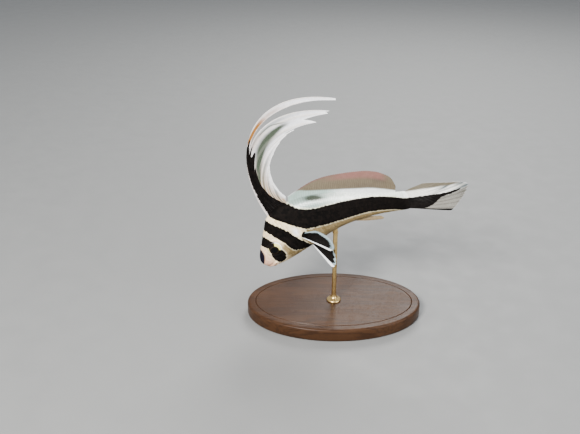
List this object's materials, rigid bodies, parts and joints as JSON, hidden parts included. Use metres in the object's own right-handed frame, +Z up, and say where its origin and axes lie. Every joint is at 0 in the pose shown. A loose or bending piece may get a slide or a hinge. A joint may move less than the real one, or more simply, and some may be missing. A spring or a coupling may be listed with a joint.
{
  "type": "mounted drum fish model",
  "caption": "Life-size model of a slender banded drum fish with a tall curved dorsal fin, head down on a flat base with one short rod.",
  "frame": {"origin": "middle of the underside of the stand's base", "axes": "+Z up, -X the way the head points, the fish's left side towards -Y"},
  "size_m": [0.1244, 0.066, 0.1348],
  "materials": {
    "skin": "satin painted resin, silvery white with broad black bands",
    "eye": "polished black",
    "dark_fin": "satin, black with white edges",
    "white_fin": "satin white",
    "pale_fin": "satin, half clear",
    "stand_wood": "dark oiled walnut",
    "stand_brass": "satin"
  },
  "bodies": {
    "root": {"head": "skin", "torso": "skin", "tail_stem": "skin", "eye_left": "eye", "eye_right": "eye", "first_dorsal_fin": "dark_fin", "first_dorsal_filament": "white_fin", "first_dorsal_blade": "white_fin", "second_dorsal_fin": "pale_fin", "anal_fin": "pale_fin", "tail_fin": "dark_fin", "pectoral_fin_left": "dark_fin", "pectoral_fin_right": "dark_fin", "pelvic_fin_left": "dark_fin", "pelvic_fin_right": "dark_fin", "stand_base": "stand_wood", "stand_rod": "stand_brass"}
  },
  "joints": []
}
